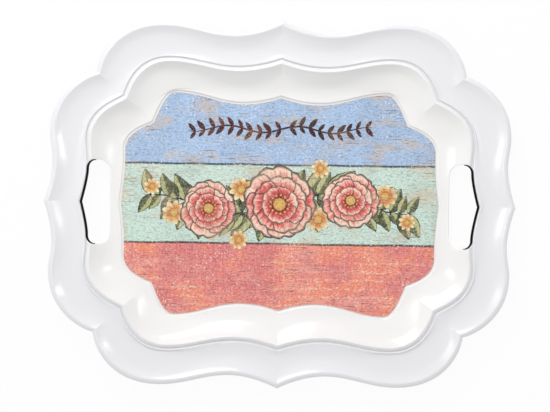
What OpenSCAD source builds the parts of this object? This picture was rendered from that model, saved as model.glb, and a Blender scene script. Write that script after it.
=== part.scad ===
// Scalloped serving tray. One moulded body carries a rolled lip, a shallow outer
// cove, a ridge, a deeper inner cove with a hand slot at each end, and a flat
// sunk floor. A printed panel is bedded in the floor, and the tray stands on
// four soft pads. The origin is on the table under the middle of the tray,
// with +X to the right hand slot, +Y to the back and +Z up.

/* [Tray] */
// Length over the points at the two ends
tray_length = 460; // [440:1:480]
// Width over the points at the front and the back
tray_width = 359; // [343:1:375]
// Height from the table to the top of the lip
tray_height = 24.5; // [23.5:0.5:26]
// Thickness of the moulded wall, measured straight down
wall = 2.8; // [2.4:0.1:3.4]

/* [Rim outline] */
// Setback of the long side's crest from the corner of the outline
rim_crest = [114.5, 2.4]; // [1:0.1:120]
// Setback of the corner notch
rim_notch = [49.5, 52.7]; // [45:0.1:57]
// Setback of the end lobe's crest
rim_lobe = [5, 112.5]; // [2:0.5:117]
// Fall of the outline beside the long side's point and the end's point
rim_fall = [26, 19]; // [12:1:30]

/* [Crease outline] */
// Width of the outer cove at the end's point and at the long side's point
outer_cove = [34.7, 38]; // [33:0.1:40]
// Setback of the long side's crest from the corner of the outline
crease_crest = [86.3, -0.5]; // [-2:0.1:92]
// Setback of the corner notch
crease_notch = [41, 38.8]; // [36:0.1:44]
// Setback of the end lobe's crest
crease_lobe = [5.9, 80.4]; // [4:0.1:86]
// Fall of the outline beside the long side's point and the end's point
crease_fall = [19, 17]; // [12:1:24]

/* [Floor outline] */
// Width of the inner cove at the end's point and at the long side's point
inner_cove = [36.9, 35]; // [33:0.1:39]
// Setback of the long side's crest from the corner of the outline
floor_crest = [54.3, -4.2]; // [-6:0.1:58]
// Setback of the corner notch
floor_notch = [28.5, 26.5]; // [25:0.1:31]
// Setback of the end lobe's crest
floor_lobe = [3.7, 54.3]; // [2:0.1:57]
// Fall of the outline beside the long side's point and the end's point
floor_fall = [19, 8]; // [4:1:22]

/* [Section] */
// Width of the rolled lip, from its edge in to its crest
lip_w = 4.6; // [4:0.1:5.2]
// Fall of the lip from its crest to its edge
lip_h = 1.9; // [1.6:0.1:2.2]
// Fall of the outer cove's inner edge below the lip's crest
cove_fall = 3.6; // [3.2:0.1:4]
// Sag of the outer cove below a straight line across it
cove_sag = 3.2; // [2.6:0.1:3.6]
// Width of the groove outside the ridge
groove_w = 1.3; // [1:0.1:2]
// Depth of the groove below the outer cove's inner edge
groove_d = 0.9; // [0.5:0.1:1.1]
// Width of the ridge, from the groove in to its crest
ridge_w = 4.4; // [4:0.1:5]
// Height of the ridge's crest above the groove
ridge_h = 2.2; // [1.8:0.1:2.6]
// Height of the border round the floor
border_z = 10; // [9.9:0.1:10.4]
// Run of the step from the border down to the floor
step_run = 1.2; // [1:0.1:1.6]
// Height of the sunk floor
floor_z = 8.6; // [8.4:0.1:8.7]
// How sharply the inner cove curves, where 2 is a parabola
cove_power = 1.9; // [1.7:0.1:2.3]

/* [Foot] */
// Height of the foot ring above the table
foot_z = 1.4; // [1:0.1:1.8]
// Width of the foot ring
foot_w = 7; // [6:0.5:8]
// Height of the base inside the foot ring
base_z = 5.8; // [5.4:0.1:6]
// Diameter of a soft pad
pad_d = 14; // [10:0.5:16]
// Depth of the cup that holds a pad
pad_cup = 0.8; // [0.6:0.1:1]
// Place of a pad, measured from the middle of the tray
pad_place = [104, 82]; // [76:1:106]

/* [Hand slots] */
// Length of a hand slot
slot_length = 83; // [77:1:89]
// Width of a hand slot at its point
slot_width = 28.5; // [27:0.5:30]
// How far the point stands out past the slot's outer corners
slot_vee = 6.3; // [5:0.1:8]
// Radius of the slot's outer and inner corners
slot_r = [8.5, 11]; // [6:0.5:12]
// Thickness of the soft grip strip on the slot's outer wall
grip_t = 2; // [1.8:0.1:2.6]
// Height of the grip strip
grip_h = 4; // [3.4:0.1:4.2]

/* [Panel] */
// Width of the ledge between the floor's step and the printed panel
panel_gap = 1.6; // [1.2:0.1:2]
// Thickness of the adhesive sheet
adhesive_t = 0.3; // [0.2:0.1:0.4]
// Thickness of the printed panel
panel_t = 0.7; // [0.5:0.1:0.9]
// Thickness of the clear cover film
cover_t = 0.2; // [0.15:0.05:0.3]
// Setback of the adhesive sheet from the panel's edge
adhesive_inset = 2; // [1:0.5:4]

/* [Hidden] */
$fn = 48;

// Points along each of the four curves of a quadrant, from the end's point round
// the end lobe and the corner lobe to the long side's point.
CURVE_STEPS = [7, 7, 7, 9];
// Points along a cove on the visible and on the hidden side, down the lip or the
// ridge, along half of a slot's outer wall, and round a slot's corner.
COVE_STEPS = 6;
UNDER_STEPS = 4;
ROLL_STEPS = 4;
WALL_STEPS = 5;
ARC_STEPS = 6;
// Directions in which the two lobes meet at the corner notch.
NOTCH_HEADING = [-10, -83];
// Lengths of the two handles of each curve, as shares of the curve's span.
END_HANDLES = [0.64, 0.24];
LOBE_HANDLES = [0.68, 0.25];
CREST_HANDLES = [0.4, 0.68];
SIDE_HANDLES = [0.34, 0.52];
// Shares of the two coves that the hidden side follows.
OUTER_UNDER = [0, 0.8];
INNER_UNDER = [0.3, 1];
// How far the hidden side of the wall lies outside the visible one.
under_out = 1.6;
// How sharply the lip and the ridge round off towards their outer edges, and the
// height of the lip's upright edge.
roll_power = 1.5;
lip_edge = 0.7;
// How far in from the crease, and how far below it, the hidden side turns down
// behind a hand slot's outer wall.
grip_wall = [1, 5.6];
// How far in from the lip's edge, and how far below it, the hidden side starts.
lip_tuck = [0.7, 1.5];
// How far the foot ring starts outside the floor's edge, and its inner slope.
foot_out = 2.4;
foot_slope = 1;
// Width and fall of the border between the inner cove and the floor's step.
border_w = 1;
border_fall = 0.1;
// How far a slot's point lies past the crease, and the share of half its outer
// wall that bends the wall straight.
slot_reach = 0.3;
wall_bend = 0.72;
// How far a grip strip lies below the crease.
grip_drop = 1.2;
// Half sizes of the three outlines.
rim_half = [tray_length, tray_width] / 2;
crease_half = rim_half - outer_cove;
floor_half = crease_half - inner_cove;
// Heights that follow from the driving ones.
valley_z = tray_height - cove_fall;
crease_z = valley_z - groove_d;
ridge_z = crease_z + ridge_h;
lip_low = tray_height - lip_h;
panel_z = floor_z + adhesive_t;
cover_z = panel_z + panel_t;
slot_point_x = crease_half[0] + slot_reach;
grip_top_z = crease_z - grip_drop;

function mix(a, b, t) = a + (b - a) * t;

// A point on a cubic curve, given its ends and their handles.
function curve_point(a, b, c, d, t) =
    pow(1 - t, 3) * a + 3 * t * pow(1 - t, 2) * b + 3 * t * t * (1 - t) * c + pow(t, 3) * d;

// One curve as points, without its last one.
function curve(a, b, c, d, steps) = [for (i = [0 : steps - 1]) curve_point(a, b, c, d, i / steps)];

// A quarter of an outline, from the end's point to the long side's point. The
// handles are fixed shares of the spans, so the three outlines run alike.
function quarter(half, crest, notch, lobe, fall) =
    let (end_point = [half[0], 0],
         side_point = [0, half[1]],
         end_lobe = half - lobe,
         corner = half - notch,
         side_crest = half - crest,
         lobe_in = [cos(NOTCH_HEADING[0]), sin(NOTCH_HEADING[0])],
         crest_out = -[cos(NOTCH_HEADING[1]), sin(NOTCH_HEADING[1])],
         lobe_span = end_lobe - corner,
         crest_span = side_crest - corner)
    concat(
        curve(end_point, end_point + END_HANDLES[0] * end_lobe[1] * [-sin(fall[1]), cos(fall[1])],
              end_lobe - [0, END_HANDLES[1] * end_lobe[1]], end_lobe, CURVE_STEPS[0]),
        curve(end_lobe, end_lobe - [0, LOBE_HANDLES[0] * lobe_span[1]],
              corner + LOBE_HANDLES[1] * lobe_span[0] * lobe_in, corner, CURVE_STEPS[1]),
        curve(corner, corner + CREST_HANDLES[0] * crest_span[1] * crest_out,
              side_crest - [CREST_HANDLES[1] * crest_span[0], 0], side_crest, CURVE_STEPS[2]),
        curve(side_crest, side_crest - [SIDE_HANDLES[0] * side_crest[0], 0],
              side_point + SIDE_HANDLES[1] * side_crest[0] * [cos(fall[0]), -sin(fall[0])],
              side_point, CURVE_STEPS[3]),
        [side_point]);

// A whole outline, anticlockwise, from a quarter of it.
function around(q) =
    let (m = len(q) - 1)
    concat([for (i = [0 : m - 1]) q[i]],
           [for (i = [m : -1 : 1]) [-q[i][0], q[i][1]]],
           [for (i = [0 : m - 1]) -q[i]],
           [for (i = [m : -1 : 1]) [q[i][0], -q[i][1]]]);

rim_outline = around(quarter(rim_half, rim_crest, rim_notch, rim_lobe, rim_fall));
crease_outline = around(quarter(crease_half, crease_crest, crease_notch, crease_lobe, crease_fall));
floor_outline = around(quarter(floor_half, floor_crest, floor_notch, floor_lobe, floor_fall));

// The outline at a station between the rim (0), the crease (1) and the floor (2).
function outline_at(station) =
    station < 1 ? mix(rim_outline, crease_outline, station)
                : mix(crease_outline, floor_outline, station - 1);

// Stations a distance in millimetres in from the rim, the crease or the floor.
function from_rim(d) = d / outer_cove[0];
function from_crease(d) = 1 + d / inner_cove[0];
function from_floor(d) = 2 + d / inner_cove[0];

// Ends of the two coves in plan.
outer_from = from_rim(lip_w);
outer_to = from_rim(outer_cove[0] - groove_w);
inner_from = from_crease(ridge_w);
inner_to = from_floor(-step_run - border_w);

// Shares from first to last in even steps.
function shares(span, steps) = [for (i = [0 : steps]) mix(span[0], span[1], i / steps)];

// The outer cove as [station, height] pairs: a shallow sag between its edges.
function outer_section(span, steps) =
    [for (s = shares(span, steps))
        [mix(outer_from, outer_to, s), mix(tray_height, valley_z, s) - 4 * cove_sag * s * (1 - s)]];

// The inner cove as [station, height] pairs, steep at its top and flat at its foot.
function inner_section(span, steps) =
    [for (s = shares(span, steps))
        [mix(inner_from, inner_to, s), border_z + (ridge_z - border_z) * pow(1 - s, cove_power)]];

// The outward slope of the lip or the ridge as [distance, height] pairs, from its
// edge up to just short of its crest.
function roll_section(width, crest_z, fall) =
    [for (i = [0 : ROLL_STEPS - 1])
        let (s = i / ROLL_STEPS)
        [width * s, crest_z - fall * pow(1 - s, roll_power)]];

// The visible side of the section, from the lip in to the sunk floor.
top_section = concat(
    [[from_rim(0), lip_low - lip_edge]],
    [for (p = roll_section(lip_w, tray_height, lip_h)) [from_rim(p[0]), p[1]]],
    outer_section([0, 1], COVE_STEPS),
    [for (p = roll_section(ridge_w, ridge_z, ridge_h)) [from_crease(p[0]), p[1]]],
    inner_section([0, 1], COVE_STEPS),
    [[from_floor(-step_run), border_z - border_fall], [from_floor(0), floor_z]]);

// The hidden side, from the lip in to the base. It runs a wall below both coves,
// and is thick enough to grip between them.
shift = [-from_rim(under_out), -wall];
function lowered(section) = [for (p = section) p + shift];
under_section = concat(
    [[from_rim(lip_tuck[0]), lip_low - lip_tuck[1]]],
    lowered(outer_section(OUTER_UNDER, UNDER_STEPS)),
    [[from_crease(grip_wall[0]), crease_z - grip_wall[1]]],
    lowered(inner_section(INNER_UNDER, UNDER_STEPS)),
    [[from_floor(-foot_out), foot_z], [from_floor(foot_w - foot_out), foot_z],
     [from_floor(foot_w - foot_out + foot_slope), base_z]]);

// The closed section, from the base round the lip to the floor.
last_under = len(under_section) - 1;
section = concat([for (i = [last_under : -1 : 0]) under_section[i]], top_section);

// A closed solid through the outlines at the stations of a section.
module lofted(stations) {
    n = len(rim_outline);
    rings = len(stations);
    points = [for (s = stations) for (p = outline_at(s[0])) [p[0], p[1], s[1]]];
    function at(ring, i) = ring * n + i % n;
    sides = [for (k = [0 : rings - 2]) for (i = [0 : n - 1]) for (tri = [0, 1])
        tri == 0 ? [at(k, i), at(k + 1, i), at(k + 1, i + 1)]
                 : [at(k, i), at(k + 1, i + 1), at(k, i + 1)]];
    base = [for (i = [0 : n - 1]) at(0, i)];
    top = [for (i = [n - 1 : -1 : 0]) at(rings - 1, i)];
    polyhedron(points, concat([base], sides, [top]), convexity = 8);
}

// A quarter turn round a centre, from an angle on.
function arc(centre, r, from) =
    [for (i = [0 : ARC_STEPS]) let (t = from + 90 * i / ARC_STEPS) centre + r * [cos(t), sin(t)]];

// Half of the right hand slot: its outer wall, bowed from its point to its end,
// and the arcs that round its outer and inner corners.
slot_half = slot_length / 2;
wall_x = slot_point_x - slot_vee;
wall_tip = [slot_point_x, 0];
wall_end = [wall_x, slot_half - slot_r[0]];
wall_mid = [wall_x, wall_bend * wall_end[1]];
slot_wall = [for (i = [0 : WALL_STEPS - 1])
    let (t = i / WALL_STEPS)
    mix(mix(wall_tip, wall_mid, t), mix(wall_mid, wall_end, t), t)];
outer_arc = arc(wall_end - [slot_r[0], 0], slot_r[0], 0);
inner_arc = arc([slot_point_x - slot_width, slot_half] + [slot_r[1], -slot_r[1]], slot_r[1], 90);

// Points in the opposite order, and their mirror images but for the first point.
function reversed(list) = [for (i = [len(list) - 1 : -1 : 0]) list[i]];
function mirrored(list) = [for (i = [len(list) - 1 : -1 : 1]) [list[i][0], -list[i][1]]];

// Outline of the right hand slot: a point outward, a straight side inward.
module slot_outline() {
    half_edge = concat(slot_wall, outer_arc, inner_arc);
    polygon(concat(half_edge, mirrored(half_edge)));
}

// A hand slot as a solid to cut, at the right end or, turned, at the left one.
module slot_cut(turn) {
    rotate(turn) linear_extrude(tray_height) slot_outline();
}

// The strip that lines a slot's outer wall and thins out round its corners.
module grip_strip(turn) {
    half_edge = concat(slot_wall, [for (i = [0 : ARC_STEPS - 1]) outer_arc[i]]);
    outer_edge = concat(mirrored(half_edge), half_edge);
    inner_edge = [for (p = reversed(outer_edge)) p - [grip_t, 0]];
    color("#18181a")
    rotate(turn)
    translate([0, 0, grip_top_z - grip_h])
    linear_extrude(grip_h) polygon(concat(outer_edge, inner_edge));
}

// The sides that the four pads stand on.
PAD_SIDES = [[1, 1], [-1, 1], [-1, -1], [1, -1]];
function pad_centre(i) = [PAD_SIDES[i][0] * pad_place[0], PAD_SIDES[i][1] * pad_place[1], 0];

module pad_shape() {
    cylinder(d = pad_d, h = base_z + pad_cup);
}

// A flat sheet that fits the floor, set back from the floor's step.
module sheet(setback, z, t) {
    translate([0, 0, z])
    linear_extrude(t) polygon(outline_at(from_floor(setback)));
}

module tray_body() {
    color("#f4f4f2")
    resize([tray_length, tray_width, 0])
    difference() {
        lofted(section);
        slot_cut(0);
        slot_cut(180);
        for (i = [0 : 3]) translate(pad_centre(i)) pad_shape();
    }
}

module adhesive_sheet() {
    color("#d8d2c0") sheet(panel_gap + adhesive_inset, floor_z, adhesive_t);
}

module printed_panel() {
    color("#b9c6de") sheet(panel_gap, panel_z, panel_t);
}

module clear_cover() {
    color("#e8f0f4", 0.35) sheet(panel_gap, cover_z, cover_t);
}

module grip_strip_left() {
    grip_strip(180);
}

module grip_strip_right() {
    grip_strip(0);
}

module foot_pad(i) {
    color("#3a3a3c") translate(pad_centre(i)) pad_shape();
}

tray_body();
adhesive_sheet();
printed_panel();
clear_cover();
grip_strip_left();
grip_strip_right();
for (i = [0 : 3])
    foot_pad(i);
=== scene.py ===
"""Looks of the scalloped serving tray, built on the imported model's fixed frame.

Lengths are millimetres in the classes below and become metres where a mesh is
made. +X runs to the right hand slot, +Y to the back and +Z up from the table.
"""

import logging
import math
from dataclasses import dataclass, field
from enum import Enum
from typing import Any, Callable, Sequence

import bpy
import numpy as np
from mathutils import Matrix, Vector


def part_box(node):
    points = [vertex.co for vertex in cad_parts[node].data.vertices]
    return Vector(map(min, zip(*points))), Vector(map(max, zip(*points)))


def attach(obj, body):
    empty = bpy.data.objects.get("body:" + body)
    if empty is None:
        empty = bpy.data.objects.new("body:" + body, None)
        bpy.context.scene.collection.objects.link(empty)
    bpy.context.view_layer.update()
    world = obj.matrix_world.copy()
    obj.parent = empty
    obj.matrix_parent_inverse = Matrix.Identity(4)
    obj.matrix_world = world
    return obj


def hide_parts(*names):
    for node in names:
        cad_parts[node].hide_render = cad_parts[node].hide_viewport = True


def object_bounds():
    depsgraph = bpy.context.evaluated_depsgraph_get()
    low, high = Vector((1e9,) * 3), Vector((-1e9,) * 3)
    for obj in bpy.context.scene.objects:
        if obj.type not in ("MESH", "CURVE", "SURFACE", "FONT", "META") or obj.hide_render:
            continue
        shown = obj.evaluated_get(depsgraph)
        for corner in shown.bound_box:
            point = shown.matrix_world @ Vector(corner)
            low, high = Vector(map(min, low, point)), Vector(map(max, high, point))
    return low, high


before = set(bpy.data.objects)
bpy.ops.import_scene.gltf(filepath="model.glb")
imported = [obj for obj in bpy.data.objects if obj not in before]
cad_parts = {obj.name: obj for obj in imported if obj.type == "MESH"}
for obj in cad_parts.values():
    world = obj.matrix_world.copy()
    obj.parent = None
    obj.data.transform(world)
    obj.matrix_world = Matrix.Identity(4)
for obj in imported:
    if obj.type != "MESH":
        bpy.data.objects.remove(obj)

CAD_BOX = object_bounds()
BODY = "root"
MM = 0.001
WELDS_PER_MM = 1e4
QUARTER = 4.0
LAP = 4 * QUARTER
WHITE = (1.0, 1.0, 1.0)
LOG = logging.getLogger("tray")

Array = np.ndarray
Colour = tuple[float, float, float]
Span = tuple[float, float]


def paint(red: int, green: int, blue: int) -> Colour:
    """Turns a screen colour of 0 to 255 into the linear one that shaders take.

    Args:
        red: red on the screen.
        green: green on the screen.
        blue: blue on the screen.

    Returns:
        The linear colour.
    """
    shares = np.array([red, green, blue]) / 255.0
    linear = np.where(shares <= 0.04045, shares / 12.92, ((shares + 0.055) / 1.055) ** 2.4)
    return tuple(float(v) for v in linear)


def node_box(node: str) -> tuple[Array, Array]:
    """Gives a CAD node's lowest and highest corners in millimetres."""
    low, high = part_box(node)
    return np.array(low) / MM, np.array(high) / MM


def smoothstep(low: float, high: float, x: Array) -> Array:
    """Runs smoothly from 0 at low to 1 at high."""
    t = np.clip((x - low) / (high - low), 0.0, 1.0)
    return t * t * (3.0 - 2.0 * t)


def heading(degrees: Array | float) -> Array:
    """Gives the unit vectors at angles from +X."""
    angle = np.radians(degrees)
    return np.stack([np.cos(angle), np.sin(angle)], axis=-1)


def left_of(ahead: Array) -> Array:
    """Gives the unit vectors square to directions, on their left."""
    return np.stack([-ahead[:, 1], ahead[:, 0]], axis=-1) / np.linalg.norm(ahead, axis=1)[:, None]


def raised(plan: Array, height: Array | float) -> Array:
    """Gives points in plan a height, as xyz."""
    return np.concatenate([plan, np.broadcast_to(height, plan.shape[:-1])[..., None]], axis=-1)


def spread(run: Array, shares: Array) -> Array:
    """Gives points at shares of a run's length.

    Args:
        run: points in order.
        shares: how far along, from 0 to 1.

    Returns:
        Points in order.
    """
    steps = np.linalg.norm(np.diff(run, axis=0), axis=1)
    length = np.concatenate([[0], np.cumsum(steps)])
    places = shares * length[-1]
    return np.stack([np.interp(places, length, run[:, k]) for k in (0, 1)], axis=-1)


# Meshes


@dataclass
class Shell:
    """Points and faces that become one piece, gathered block by block."""

    points: list[Array] = field(default_factory=list)
    loops: list[Array] = field(default_factory=list)
    sizes: list[Array] = field(default_factory=list)
    layers: dict[str, list[Array]] = field(default_factory=dict)
    count: int = 0

    def add_grid(self, grid: Array, closed: bool = False, keep: Array | None = None,
                 **layers: Array) -> Array:
        """Adds a grid of points joined by four-sided faces.

        Args:
            grid: points as rows, columns and xyz, in millimetres.
            closed: whether the last column joins the first.
            keep: rows and columns of faces to keep, all if None.
            layers: values for each point, by attribute name.

        Returns:
            The index of each point, as rows and columns.
        """
        rows, columns = grid.shape[:2]
        index = self.count + np.arange(rows * columns).reshape(rows, columns)
        right = np.roll(index, -1, axis=1) if closed else index[:, 1:]
        left = index if closed else index[:, :-1]
        faces = np.stack([left[:-1], right[:-1], right[1:], left[1:]], axis=-1)
        faces = faces[keep] if keep is not None else faces.reshape(-1, 4)
        self.points.append(grid.reshape(-1, 3))
        self.loops.append(faces.reshape(-1))
        self.sizes.append(np.full(len(faces), 4))
        for name, values in layers.items():
            self.layers.setdefault(name, []).append(np.broadcast_to(values, (rows, columns)).reshape(-1))
        self.count += rows * columns
        return index

    def add_tube(self, grid: Array, keep: Array | None = None, **layers: Array) -> None:
        """Adds a grid that closes round its rows, with a flat face over each end.

        Args:
            grid: points as rows, columns and xyz, in millimetres.
            keep: rows and columns of faces to keep, all if None.
            layers: values for each point, by attribute name.
        """
        index = self.add_grid(grid, True, keep, **layers)
        self.loops.extend([index[0, ::-1], index[-1]])
        self.sizes.append(np.full(2, index.shape[1]))

    def make(self, name: str, solid: bool = True, smooth: bool = True) -> bpy.types.Object:
        """Makes the piece's object, at the origin and with its place in its mesh.

        Args:
            name: the piece's name.
            solid: whether points in one place are joined and faces turned outward.
            smooth: whether faces are shaded smooth.

        Returns:
            The new object.
        """
        points, loops, sizes = (np.concatenate(blocks) for blocks in (self.points, self.loops, self.sizes))
        first = np.arange(len(points))
        if solid:
            cells = np.round(points * WELDS_PER_MM).astype(np.int64)
            _, first, inverse = np.unique(cells, axis=0, return_index=True, return_inverse=True)
            loops = inverse.reshape(-1)[loops]
        mesh = bpy.data.meshes.new(name)
        mesh.vertices.add(len(first))
        mesh.vertices.foreach_set("co", (points[first] * MM).astype(np.float32).reshape(-1))
        mesh.loops.add(len(loops))
        mesh.loops.foreach_set("vertex_index", loops.astype(np.int32))
        mesh.polygons.add(len(sizes))
        starts = np.concatenate([[0], np.cumsum(sizes)[:-1]])
        mesh.polygons.foreach_set("loop_start", starts.astype(np.int32))
        mesh.polygons.foreach_set("use_smooth", np.full(len(sizes), smooth))
        for layer, blocks in self.layers.items():
            values = np.concatenate(blocks)[first].astype(np.float32)
            mesh.attributes.new(layer, "FLOAT", "POINT").data.foreach_set("value", values)
        mesh.update(calc_edges=True)
        mesh.validate()
        piece = bpy.data.objects.new(name, mesh)
        bpy.context.scene.collection.objects.link(piece)
        if solid:
            face_out(piece)
        return piece


def face_out(piece: bpy.types.Object) -> None:
    """Turns a closed piece's faces so that they all point outwards.

    Args:
        piece: the piece.
    """
    bpy.context.view_layer.objects.active = piece
    bpy.ops.object.mode_set(mode="EDIT")
    bpy.ops.mesh.select_all(action="SELECT")
    bpy.ops.mesh.normals_make_consistent(inside=False)
    bpy.ops.object.mode_set(mode="OBJECT")


def fit_piece(piece: bpy.types.Object, finish: "Finish", nodes: Sequence[str] = ()) -> None:
    """Dresses a piece, ties it to the tray and lets it stand for CAD nodes.

    Args:
        piece: the piece.
        finish: the finish it gets.
        nodes: CAD nodes that it stands for.
    """
    piece.data.materials.append(finish.material())
    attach(piece, BODY)
    if nodes:
        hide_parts(*nodes)
    LOG.info("%s: %d points, stands for %s", piece.name, len(piece.data.vertices), list(nodes) or "itself")


# Shader maths


def operator(operation: str, flipped: bool = False) -> Callable[["Value", Any], "Value"]:
    """Gives a method that adds a Math node on two values.

    Args:
        operation: the node's operation.
        flipped: whether the other value comes first.

    Returns:
        The method.
    """
    def apply(self: "Value", other: Any) -> "Value":
        """Adds the node."""
        pair = (other, self) if flipped else (self, other)
        return self.graph.node("ShaderNodeMath", {"operation": operation}, dict(enumerate(pair)))
    return apply


class Value:
    """A shader socket that takes part in Python expressions."""

    __add__ = __radd__ = operator("ADD")
    __sub__ = operator("SUBTRACT")
    __rsub__ = operator("SUBTRACT", flipped=True)
    __mul__ = __rmul__ = operator("MULTIPLY")
    __truediv__ = operator("DIVIDE")
    __rtruediv__ = operator("DIVIDE", flipped=True)
    __pow__ = operator("POWER")
    __rpow__ = operator("POWER", flipped=True)
    max = operator("MAXIMUM")
    min = operator("MINIMUM")

    def __init__(self, graph: "Graph", socket: bpy.types.NodeSocket) -> None:
        """Wraps a socket of a graph."""
        self.graph = graph
        self.socket = socket

    def abs(self) -> "Value":
        """Drops the sign."""
        return self.graph.node("ShaderNodeMath", {"operation": "ABSOLUTE"}, {0: self})

    def sin(self) -> "Value":
        """Takes the sine."""
        return self.graph.node("ShaderNodeMath", {"operation": "SINE"}, {0: self})

    def step(self, low: float, high: float) -> "Value":
        """Runs smoothly from 0 at low to 1 at high, or down where low is higher."""
        inputs = {0: self, 1: min(low, high), 2: max(low, high), 3: float(low > high), 4: float(low < high)}
        return self.graph.node("ShaderNodeMapRange", {"interpolation_type": "SMOOTHSTEP"}, inputs)

    def between(self, low: float, high: float) -> "Value":
        """Runs straight from low, where this is 0, to high, where it is 1."""
        return self * (high - low) + low


@dataclass(frozen=True)
class Texture:
    """Noise about a half, with cells to the millimetre along each axis.

    Marks cut from it begin and end at its span, and its turn is degrees about +Z.
    """

    cells: tuple[float, ...]
    detail: float
    roughness: float = 0.5
    span: Span = (0.0, 1.0)
    turn: float = 0.0


class Graph:
    """The nodes of a material or of the world, made through one method."""

    def __init__(self, tree: bpy.types.NodeTree) -> None:
        """Takes a tree that holds its output."""
        self.tree = tree

    def node(self, kind: str, settings: dict[str, Any], inputs: dict[Any, Any], out: Any = 0) -> Value:
        """Adds a node.

        Args:
            kind: the node's type.
            settings: properties of the node, set first.
            inputs: a number, a colour or a Value for sockets by name or place.
            out: the output to return, by name or place.

        Returns:
            The chosen output.
        """
        made = self.tree.nodes.new(kind)
        for key, setting in settings.items():
            setattr(made, key, setting)
        for key, given in inputs.items():
            self._feed(made.inputs[key], given)
        return Value(self, made.outputs[out])

    def _feed(self, socket: bpy.types.NodeSocket, given: Any) -> None:
        """Links a Value to a socket, or sets the socket's own number or colour.

        Args:
            socket: the socket.
            given: a Value, a number or a colour.
        """
        if isinstance(given, Value):
            self.tree.links.new(given.socket, socket)
        elif socket.type == "RGBA" and len(given) == 3:
            socket.default_value = (*given, 1.0)
        else:
            socket.default_value = given

    def feed(self, **sockets: Any) -> None:
        """Feeds the plain surface's sockets.

        Args:
            sockets: what each gets, by its name with _ for a space.
        """
        surface = self.tree.nodes["Principled BSDF"]
        for name, given in sockets.items():
            title = name.replace("_", " ").title().replace("Ior", "IOR")
            self._feed(surface.inputs[title], given)

    def show(self, share: Value, lit: Value, white: Value) -> None:
        """Shows a mix of two shaders in place of the plain one.

        Args:
            share: share of the second.
            lit: the shader that light falls on.
            white: the shader that shows white.
        """
        mixed = self.node("ShaderNodeMixShader", {}, {0: share, 1: lit, 2: white})
        output = next(n for n in self.tree.nodes if n.name in ("Material Output", "World Output"))
        self._feed(output.inputs["Surface"], mixed)

    def ray(self, kind: str) -> Value:
        """Tells whether a ray is of a kind, as 1 or 0."""
        return self.node("ShaderNodeLightPath", {}, {}, f"Is {kind} Ray")

    def place(self, cells: Sequence[float] = (1.0, 1.0, 1.0), turn: float = 0.0) -> Value:
        """Gives the piece's own coordinates, in millimetres times a scale.

        Args:
            cells: factor along each axis.
            turn: turn about +Z in degrees.

        Returns:
            The coordinates.
        """
        here = self.node("ShaderNodeTexCoord", {}, {}, "Object")
        turned = (0.0, 0.0, math.radians(turn))
        inputs = {"Vector": here, "Rotation": turned, "Scale": tuple(c / MM for c in cells)}
        return self.node("ShaderNodeMapping", {}, inputs)

    def noise(self, texture: Texture, where: Value | None = None) -> Value:
        """Gives a texture's noise of 0 to 1, on its own cells of the piece if where is None."""
        here = self.place(texture.cells, texture.turn) if where is None else where
        return self.node("ShaderNodeTexNoise", {}, {
            "Vector": here, "Scale": 1.0, "Detail": texture.detail, "Roughness": texture.roughness})

    def marks(self, texture: Texture) -> Value:
        """Gives marks of 0 to 1 that are cut from a texture's noise."""
        return self.noise(texture).step(*texture.span)

    def attribute(self, name: str) -> Value:
        """Reads a number that the mesh holds at each point."""
        return self.node("ShaderNodeAttribute", {"attribute_name": name}, {}, "Fac")

    def mix(self, share: Any, first: Any, second: Any, blend: str = "MIX") -> Value:
        """Mixes two colours, by the share of the second and the way they blend."""
        # A Mix node takes its colours at inputs 6 and 7 and gives one at output 2
        settings = {"data_type": "RGBA", "blend_type": blend}
        return self.node("ShaderNodeMix", settings, {0: share, 6: first, 7: second}, 2)

    def ramp(self, share: Value, stops: Sequence[tuple[float, Colour]]) -> Value:
        """Turns a number into a colour between stops.

        Args:
            share: the number.
            stops: places and colours.

        Returns:
            The colour.
        """
        shade = self.node("ShaderNodeValToRGB", {}, {0: share})
        elements = shade.socket.node.color_ramp.elements
        while len(elements) < len(stops):
            elements.new(1.0)
        for element, (place, colour) in zip(elements, stops):
            element.position = place
            element.color = (*colour, 1.0)
        return shade

    def bump(self, height: Value, depth: float, strength: float = 1.0) -> None:
        """Raises the surface by a height of 0 to 1 times a depth in millimetres."""
        inputs = {"Height": height, "Distance": depth * MM, "Strength": strength}
        self.feed(normal=self.node("ShaderNodeBump", {}, inputs))


# Finishes


@dataclass(frozen=True)
class Finish:
    """A finish with a name of its own, made into a material once."""

    name: str

    def material(self) -> bpy.types.Material:
        """Gives the finish's material, made at its first use.

        Returns:
            The material.
        """
        material = bpy.data.materials.get(self.name)
        if material is None:
            material = bpy.data.materials.new(self.name)
            material.use_nodes = True
            self.dress(Graph(material.node_tree))
        return material

    def dress(self, graph: Graph) -> None:
        """Sets the finish's nodes."""
        raise NotImplementedError


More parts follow.
